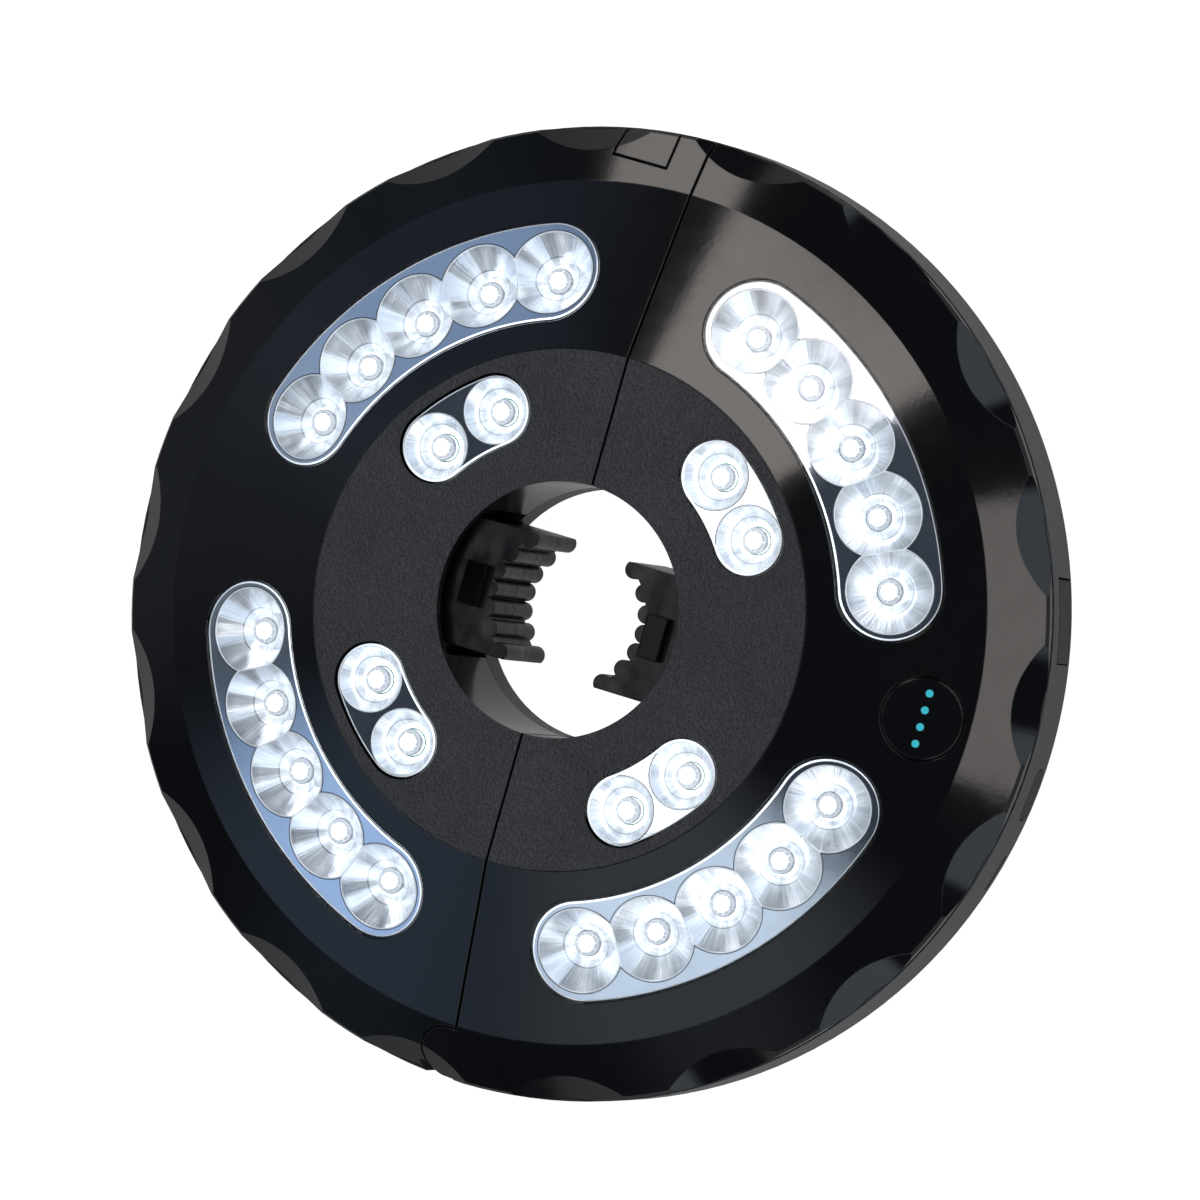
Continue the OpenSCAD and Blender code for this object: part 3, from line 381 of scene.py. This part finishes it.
def cell():
    """Shrink sleeve of a battery cell."""
    s = Shader("cell", IOR=1.5)
    return s.put(Base_Color=s.ramp(s.noise(80, 3), [(0.3, (0.03, 0.12, 0.3)), (0.7, (0.05, 0.16, 0.36))]),
                 Roughness=s.span(s.noise(300, 2), 0.25, 0.35),
                 Normal=s.bump(s.noise(500, 2), 0.06, 0.0002))


def port_rubber():
    """Soft grey rubber of the port covers."""
    s = Shader("port_rubber", IOR=1.45)
    colour = s.ramp(s.noise(160, 4), [(0.3, (0.02, 0.02, 0.021)), (0.7, (0.034, 0.034, 0.036))])
    return s.put(Base_Color=colour,
                 Roughness=s.span(s.noise(500, 2), 0.5, 0.62),
                 Normal=s.bump(s.noise(1800, 3), 0.2, 0.00012, edge=0.0003))


def gauge_light():
    """Small cyan lights of the battery gauge."""
    s = Shader("gauge_light", Base_Color=(0.02, 0.35, 0.42, 1), Roughness=0.25,
               Emission_Color=(0.06, 0.62, 0.72, 1))
    return s.put(Emission_Strength=s.span(s.noise(2500, 2), 0.36, 0.5))


MATERIALS = {make.__name__: make() for make in (
    gloss_black, jaw_black, satin_black, grained_black, clear_window, silvered, silvered_cup,
    bright_edge, painted_shade_step, lamp_chip, lamp_lens, circuit_board, steel, cell, port_rubber,
    gauge_light)}

for part in frame["record"]["subparts"]:
    mesh_object = NODES[part["node"]]
    mesh_object.data.materials.clear()
    slot = "jaw_black" if part["node"].endswith(("jaw_front", "jaw_back")) else part["material_slot"]
    mesh_object.data.materials.append(MATERIALS[slot])


# ---------------------------------------------------------------- cups, lenses, edges with painted highlights and steps in painted shade
class CupRow:
    """One kind of lamp cluster: the circle its cups stand on, and the sizes of a cup."""

    def __init__(self, name, circle_r, count, pitch_deg, slope, rim_r, depth, slot_hw, board_top):
        self.name = name
        self.circle_r = circle_r
        self.count = count
        self.pitch = math.radians(pitch_deg)
        self.slope = slope
        self.rim_r = rim_r
        self.depth = depth
        self.flare = (rim_r - CUP_HOLE_R) / depth
        self.slot_hw = slot_hw
        self.board_top = board_top

    def face_z(self, radius):
        return TOTAL_H - (radius - RING_R) * math.tan(self.slope) if self.slope else TOTAL_H

    def turns(self):
        middle = (self.count - 1) / 2
        return [(i - middle) * self.pitch for i in range(self.count)]

    def rim_frame(self, turn):
        """Frame in the middle of a cup's rim, its Z out of the cup."""
        on_face = Matrix.Translation((self.circle_r, 0, self.face_z(self.circle_r)))
        return (Matrix.Rotation(turn, 4, "Z") @ on_face
                @ Matrix.Rotation(self.slope, 4, "Y") @ Matrix.Translation((0, 0, -CUP_DROP)))

    def reach(self, angle, index):
        """How far a cup reaches in a direction: to its rim, or to the plane it shares with a neighbour."""
        best = self.rim_r
        for side in (1, -1):
            if not 0 <= index + side < self.count:
                continue
            lean = math.tan(self.pitch / 2)
            top = self.circle_r - (self.rim_r / self.flare + CUP_DROP) * math.sin(self.slope)
            bottom = (side * math.sin(angle) - lean * math.cos(angle) * math.cos(self.slope)
                      - lean * math.sin(self.slope) / self.flare)
            if bottom > 0:
                best = min(best, lean * top / bottom)
        return best

    def wall_point(self, angle, radius, lift=0.0):
        return Vector((radius * math.cos(angle), radius * math.sin(angle),
                       (radius - self.rim_r) / self.flare + lift))

    def slot_outline(self, inward, steps=24):
        """Outline of the tray in plan: two arcs joined by round ends."""
        span = self.pitch * (self.count - 1) / 2
        hw = self.slot_hw - inward
        points = []
        for end, near in ((1, 1), (-1, -1)):
            for i in range(steps * 2):
                turn = end * span * (2 * i / (steps * 2) - 1)
                radius = self.circle_r + near * hw
                points.append((radius * math.cos(turn), radius * math.sin(turn)))
            centre = self.circle_r * Vector((math.cos(end * span), math.sin(end * span)))
            for i in range(steps):
                angle = end * span + (0 if near > 0 else math.pi) + math.pi * i / steps
                points.append((centre.x + hw * math.cos(angle), centre.y + hw * math.sin(angle)))
        return [Vector((x, y, self.face_z(math.hypot(x, y)))) for x, y in points]


OUTER = CupRow("outer", circle_r=77.05, count=5, pitch_deg=12.85, slope=BAND_SLOPE, rim_r=9.8,
               depth=6.186, slot_hw=11.8, board_top=22.9)
INNER = CupRow("inner", circle_r=47.7, count=2, pitch_deg=19.7, slope=0.0, rim_r=7.5,
               depth=6.1, slot_hw=8.6, board_top=28.8)
ROUND_STEPS = 96
LINER_CLEAR = 0.12
LIP_STEPS = 14


def new_piece(name, verts, faces, material, body, places=None):
    """Mesh object in metres from corners in millimetres, riding on a body."""
    mesh = bpy.data.meshes.new(name)
    mesh.from_pydata([tuple(v * MM) for v in verts], [], faces)
    mesh.materials.append(MATERIALS[material])
    if places:
        layer = mesh.uv_layers.new(name="place")
        for loop in mesh.loops:
            layer.data[loop.index].uv = places[loop.vertex_index]
    for face in mesh.polygons:
        face.use_smooth = True
    made = bpy.data.objects.new(name, mesh)
    scene.collection.objects.link(made)
    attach(made, body)
    return made


def grid_faces(rows, columns, start):
    return [(start + i * columns + j, start + i * columns + j + 1,
             start + (i + 1) * columns + j + 1, start + (i + 1) * columns + j)
            for i in range(rows - 1) for j in range(columns - 1)]


def tube(points, radii, start, sides=8, closed=True, upright=Vector((0, 0, 1))):
    """Corners and faces of a round bead along a run of points, with its radius at each.

    Upright is a direction that the run is never parallel to.
    """
    verts, faces = [], []
    count = len(points)
    for i, point in enumerate(points):
        before = points[i - 1] if closed or i else point
        after = points[(i + 1) % count] if closed or i + 1 < count else point
        ahead = (after - before).normalized()
        out = ahead.cross(upright).normalized()
        up = out.cross(ahead)
        verts += [point + radii[i] * (math.cos(a) * out + math.sin(a) * up)
                  for a in (k * math.tau / sides for k in range(sides))]
    for i in range(count if closed else count - 1):
        for k in range(sides):
            here, there, side = i * sides, (i + 1) % count * sides, (k + 1) % sides
            corners = (here + k, there + k, there + side, here + side)
            faces.append(tuple(start + corner for corner in corners))
    if not closed:
        last = start + (count - 1) * sides
        faces.append(tuple(start + k for k in range(sides)))
        faces.append(tuple(last + k for k in reversed(range(sides))))
    return verts, faces


def every_cluster(row):
    """Body and turn of each cluster of a kind, with a name for its pieces."""
    for body, half_turn in SIDES:
        side_name = body.removesuffix("_half")
        for number, cluster_turn in enumerate(CLUSTER_TURNS, 1):
            turn = Matrix.Rotation(half_turn + cluster_turn, 4, "Z")
            yield body, turn, f"{side_name}_{row.name}_{number}"


def add_cup_liners(row, lift=0.03, rings=6):
    """Silvered skin of the cups, whose painted light runs in rays from the lamp to the rim."""
    foot = LENS_R + LINER_CLEAR
    for body, turn, name in every_cluster(row):
        verts, faces, places = [], [], []
        for index, cup_turn in enumerate(row.turns()):
            at_cup = turn @ row.rim_frame(cup_turn)
            start = len(verts)
            for i in range(rings):
                for j in range(ROUND_STEPS + 1):
                    angle = j * math.tau / ROUND_STEPS
                    share = i / (rings - 1)
                    radius = foot + share * (row.reach(angle, index) - foot)
                    verts.append(at_cup @ row.wall_point(angle, radius, lift))
                    places.append((j / ROUND_STEPS + index, (radius - CUP_HOLE_R) / CUP_REACH))
            faces += grid_faces(rings, ROUND_STEPS + 1, start)
        new_piece(name + "_cup_skin", verts, faces, "silvered_cup", body, places)


def add_rim_beads(row, radius=0.16, steps=72):
    """Rounded edge round each cup, which dips where two cups meet, with a painted highlight."""
    angles = [k * math.tau / steps for k in range(steps)]
    for body, turn, name in every_cluster(row):
        verts, faces = [], []
        for index, cup_turn in enumerate(row.turns()):
            at_cup = turn @ row.rim_frame(cup_turn)
            loop = [at_cup @ row.wall_point(a, row.reach(a, index)) for a in angles]
            more_verts, more_faces = tube(loop, [radius] * steps, len(verts))
            verts += more_verts
            faces += more_faces
        # a low share gives the cup edges a weak painted highlight
        new_piece(name + "_cup_edges", verts, faces, "bright_edge", body, [(0, 0.08)] * len(verts))


def free_runs(points, free):
    """Unbroken runs of the free points of a loop, and whether a run is the whole loop."""
    if all(free):
        return [(points, True)]
    first = free.index(False)
    order = list(range(first, len(points))) + list(range(first))
    runs, run = [], []
    for k in order + [first]:
        if free[k]:
            run.append(points[k])
        elif run:
            runs.append((run, False))
            run = []
    return runs


def add_painted_shade_steps(row, gap=0.3, radius=0.1, steps=120):
    """Small step round each cup, coloured as painted shade, left out where a neighbour cuts into it."""
    drop = CUP_DROP / math.cos(row.slope) - 0.04
    angles = [k * math.tau / steps for k in range(steps)]
    for body, turn, name in every_cluster(row):
        verts, faces = [], []
        for index, cup_turn in enumerate(row.turns()):
            at_cup = row.rim_frame(cup_turn)
            ring = [Vector((math.cos(a), math.sin(a), 0)) for a in angles]
            points = [at_cup @ ((row.rim_r + gap) * spoke) for spoke in ring]
            for point in points:
                point.z = row.face_z(math.hypot(point.x, point.y)) - drop
            free = [row.reach(a, index) > row.rim_r - 0.05 for a in angles]
            for run, closed in free_runs([turn @ point for point in points], free):
                more_verts, more_faces = tube(run, [radius] * len(run), len(verts), closed=closed)
                verts += more_verts
                faces += more_faces
        new_piece(name + "_cup_steps", verts, faces, "painted_shade_step", body)


def add_tray_edges(row, inward=0.75, drop=0.72, radius=0.13, sides=8):
    """Rounded edge of the tray, just inside the window's edge, widest towards the hole, with a painted
    highlight that is also strongest towards the hole.
    """
    outline = row.slot_outline(inward)
    reach = row.slot_hw - inward
    # the share towards the hole sets both the width of the edge and the strength of its painted highlight
    near = [(row.circle_r + reach - math.hypot(p.x, p.y)) / (2 * reach) for p in outline]
    places = [(0, share) for share in near for _ in range(sides)]
    for body, turn, name in every_cluster(row):
        loop = [turn @ (point - Vector((0, 0, drop))) for point in outline]
        verts, faces = tube(loop, [radius * (1 + share) for share in near], 0, sides)
        new_piece(name + "_tray_edge", verts, faces, "bright_edge", body, places)


def add_lenses(row, skin=0.04, rings=10, columns=48):
    """Lit skin of each lens: a dome on a short upright wall."""
    base = LENS_H / 2
    dome_r = (LENS_R ** 2 + base ** 2) / (2 * base)
    foot_r = row.circle_r - (CUP_DROP + row.depth) * math.sin(row.slope)
    for body, turn, name in every_cluster(row):
        verts, faces, places = [], [], []
        for index, cup_turn in enumerate(row.turns()):
            on_board = Matrix.Translation((foot_r, 0, row.board_top))
            at_cup = turn @ Matrix.Rotation(cup_turn, 4, "Z") @ on_board
            start = len(verts)
            for i in range(rings + 1):
                share = min(i / (rings - 1), 1.0)
                radius = LENS_R * share
                height = base / 2
                if i < rings:
                    height = LENS_H - dome_r + math.sqrt(dome_r ** 2 - radius ** 2)
                for j in range(columns + 1):
                    angle = j * math.tau / columns
                    out = radius + skin
                    corner = Vector((out * math.cos(angle), out * math.sin(angle), height + skin))
                    verts.append(at_cup @ corner)
                    places.append((j / columns + index, share))
            faces += grid_faces(rings + 1, columns + 1, start)
        new_piece(name + "_lens", verts, faces, "lamp_lens", body, places)


def add_spring(node, body, axis, turns, steps=40):
    """Round wire coil in place of a spring's node."""
    low, high = (Vector(corner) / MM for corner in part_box(node))
    middle = (low + high) / 2
    length = (high - low)[axis]
    first, second = [i for i in range(3) if i != axis]
    radius = (high - low)[second] / 2 - WIRE / 2
    points = []
    for i in range(turns * steps + 1):
        point = middle.copy()
        point[axis] = low[axis] + WIRE / 2 + (length - WIRE) * i / (turns * steps)
        point[first] += radius * math.cos(i * math.tau / steps)
        point[second] += radius * math.sin(i * math.tau / steps)
        points.append(point)
    along = Vector([1 if i == axis else 0 for i in range(3)])
    verts, faces = tube(points, [WIRE / 2] * len(points), 0, 12, closed=False, upright=along)
    piece = new_piece(node + "_wire", verts, faces, "steel", body)
    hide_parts(node)
    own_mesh(piece)


def front_z(radius):
    """Height of the light's front at a radius, over the ring, the band and the bevel."""
    on_band = OUTER.face_z(min(max(radius, RING_R), BAND_R))
    return on_band - max(0.0, radius - BAND_R) * math.tan(BEVEL_SLOPE)


def add_split_lip(side):
    """Low lip on the left half's split face that shuts out light under the front and at the hole."""
    near = HOLE_R + 0.4
    far = LIP_END_AT_LATCH if side > 0 else LIP_END_AT_HINGE
    places = [near + i * (far - near) / LIP_STEPS for i in range(LIP_STEPS + 1)]
    edge = [(y, front_z(y) - LIP_DROP) for y in places]
    outline = edge + [(y, z - LIP_T) for y, z in reversed(edge[1:])]
    outline += [(COLLAR_R, TOTAL_H - LIP_DROP - LIP_T), (COLLAR_R, LIP_LOW_Z), (near, LIP_LOW_Z)]
    count = len(outline)
    verts = [Vector((x, side * y, z)) for x in (-HALF_GAP, HALF_GAP - LIP_CLEAR) for y, z in outline]
    faces = [tuple(range(count)), tuple(range(2 * count - 1, count - 1, -1))]
    faces += [(i, i + count, (i + 1) % count + count, (i + 1) % count) for i in range(count)]
    name = "split_lip_back" if side > 0 else "split_lip_front"
    piece = new_piece(name, verts, faces, "gloss_black", "left_half")
    for face in piece.data.polygons:
        face.use_smooth = False


add_spring("latch_spring", "left_half", 2, 4)
add_spring("left_jaw_spring", "left_half", 0, 6)
add_spring("right_jaw_spring", "right_half", 0, 6)
for split_side in (1, -1):
    add_split_lip(split_side)
for row in (OUTER, INNER):
    add_cup_liners(row)
    add_rim_beads(row)
    add_painted_shade_steps(row)
    add_tray_edges(row)
    add_lenses(row)


# ---------------------------------------------------------------- stage
FLOOR_GLOW = 0.98
FLOOR_SHEEN = 0.3
FLOOR_ALBEDO = 0.25
FLOOR_HALF = 6.0
FLOOR_Z = -0.0002


def emission_floor():
    """Pale floor that shows as white and still takes the object's shadow."""
    made = bpy.data.materials.new("floor")
    made.use_nodes = True
    tree = made.node_tree
    bsdf = tree.nodes["Principled BSDF"]
    bsdf.inputs["Base Color"].default_value = (FLOOR_ALBEDO, FLOOR_ALBEDO, FLOOR_ALBEDO, 1)
    bsdf.inputs["Roughness"].default_value = 0.9
    bsdf.inputs["Specular IOR Level"].default_value = 0.1
    glow = tree.nodes.new("ShaderNodeEmission")
    path = tree.nodes.new("ShaderNodeLightPath")
    level = tree.nodes.new("ShaderNodeValue")
    level.outputs["Value"].default_value = 0.0
    for kind, share in (("Is Camera Ray", FLOOR_GLOW), ("Is Transmission Ray", FLOOR_GLOW),
                        ("Is Glossy Ray", FLOOR_SHEEN)):
        scaled = tree.nodes.new("ShaderNodeMath")
        scaled.operation = "MULTIPLY"
        scaled.inputs[1].default_value = share
        tree.links.new(path.outputs[kind], scaled.inputs[0])
        either = tree.nodes.new("ShaderNodeMath")
        either.operation = "MAXIMUM"
        tree.links.new(level.outputs["Value"], either.inputs[0])
        tree.links.new(scaled.outputs["Value"], either.inputs[1])
        level = either
    tree.links.new(level.outputs["Value"], glow.inputs["Strength"])
    add = tree.nodes.new("ShaderNodeAddShader")
    tree.links.new(bsdf.outputs["BSDF"], add.inputs[0])
    tree.links.new(glow.outputs["Emission"], add.inputs[1])
    tree.links.new(add.outputs["Shader"], tree.nodes["Material Output"].inputs["Surface"])
    return made


def add_floor():
    mesh = bpy.data.meshes.new("floor")
    mesh.from_pydata([(x, y, FLOOR_Z) for x, y in (
        (-FLOOR_HALF, -FLOOR_HALF), (FLOOR_HALF, -FLOOR_HALF), (FLOOR_HALF, FLOOR_HALF),
        (-FLOOR_HALF, FLOOR_HALF))], [], [(0, 1, 2, 3)])
    floor = bpy.data.objects.new("floor", mesh)
    mesh.materials.append(emission_floor())
    scene.collection.objects.link(floor)


LIGHT_DISTANCE = 2.6


def add_softbox(name, toward, along, size, glow, colour=(1, 1, 1), distance=LIGHT_DISTANCE):
    """Area light of a given radiance in a direction, its first side laid along another one."""
    away = Vector(toward).normalized()
    first = (Vector(along) - Vector(along).dot(away) * away).normalized()
    second = away.cross(first)
    data = bpy.data.lights.new(name, "AREA")
    data.shape = "RECTANGLE"
    data.size, data.size_y = size
    data.energy = glow * math.pi * size[0] * size[1]
    data.color = colour
    lamp = bpy.data.objects.new(name, data)
    facing = Matrix((first, second, away)).transposed().to_4x4()
    lamp.matrix_world = Matrix.Translation(distance * away) @ facing
    scene.collection.objects.link(lamp)
    return lamp


# patches of studio light: a direction, half its width in degrees, its strength, the share of
# that half width which is at full strength, and its colour
BLUE = (0.5, 0.69, 1.0)
COOL = (0.8, 0.9, 1.0)
SKY_PATCHES = (
    ((-0.64, 0.27, 0.72), 22, 0.38, 0.2, BLUE),
    ((-0.5, -0.45, 0.74), 21, 0.75, 0.2, BLUE),
    ((-0.04, -0.46, 0.88), 19, 0.85, 0.3, COOL),
    ((-0.9, 0.0, 0.42), 24, 0.2, 0.2, COOL),
    ((0.68, 0.6, 0.42), 30, 1.05, 0.85, COOL),
    ((0.7, -0.6, 0.38), 28, 1.05, 0.85, COOL),
)
SKY_BASE = (0.04, 0.048, 0.06)


def add_world():
    """White to the camera; to everything else a dim blue studio with soft patches."""
    world = bpy.data.worlds.new("studio")
    scene.world = world
    world.use_nodes = True
    tree = world.node_tree
    background = tree.nodes["Background"]
    place = tree.nodes.new("ShaderNodeTexCoord").outputs["Generated"]
    total = tree.nodes.new("ShaderNodeCombineXYZ")
    for axis, level in zip("XYZ", SKY_BASE):
        total.inputs[axis].default_value = level
    total = total.outputs["Vector"]
    for toward, half_width, strength, full_share, colour in SKY_PATCHES:
        near = tree.nodes.new("ShaderNodeVectorMath")
        near.operation = "DOT_PRODUCT"
        near.inputs[1].default_value = Vector(toward).normalized()
        tree.links.new(place, near.inputs[0])
        fade = tree.nodes.new("ShaderNodeMapRange")
        fade.interpolation_type = "SMOOTHSTEP"
        fade.inputs["From Min"].default_value = math.cos(math.radians(half_width))
        fade.inputs["From Max"].default_value = math.cos(math.radians(half_width * full_share))
        fade.inputs["To Max"].default_value = strength
        tree.links.new(near.outputs["Value"], fade.inputs["Value"])
        tinted = tree.nodes.new("ShaderNodeVectorMath")
        tinted.operation = "SCALE"
        tinted.inputs[0].default_value = colour
        tree.links.new(fade.outputs["Result"], tinted.inputs["Scale"])
        add = tree.nodes.new("ShaderNodeVectorMath")
        tree.links.new(total, add.inputs[0])
        tree.links.new(tinted.outputs["Vector"], add.inputs[1])
        total = add.outputs["Vector"]
    seen = tree.nodes.new("ShaderNodeLightPath").outputs["Is Camera Ray"]
    shown = tree.nodes.new("ShaderNodeMixRGB")
    shown.inputs["Color2"].default_value = (1, 1, 1, 1)
    tree.links.new(seen, shown.inputs["Fac"])
    tree.links.new(total, shown.inputs["Color1"])
    tree.links.new(shown.outputs["Color"], background.inputs["Color"])


WARM = (1.0, 0.93, 0.89)
add_floor()
add_world()
# the first three show in the lamp band near the latch, in the bevel beside the power button and
# in the bevel beside the latch, and the last in the flat faces round the hole
add_softbox("softbox_band", (-0.125, 0.39, 0.92), (-0.36, 0.16, 0), (1.02, 0.58), 4.5, WARM)
add_softbox("softbox_side", (0.45, 0.11, 0.89), (-0.1, 0.38, 0), (1.36, 0.48), 2.7, WARM)
add_softbox("softbox_latch", (-0.36, 0.63, 0.7), (1, 0, 0), (0.62, 0.5), 4.0, WARM)
add_softbox("softbox_jaws", (-0.17, 0.03, 0.98), (0, 1, 0), (0.22, 0.16), 2.2, distance=0.62)
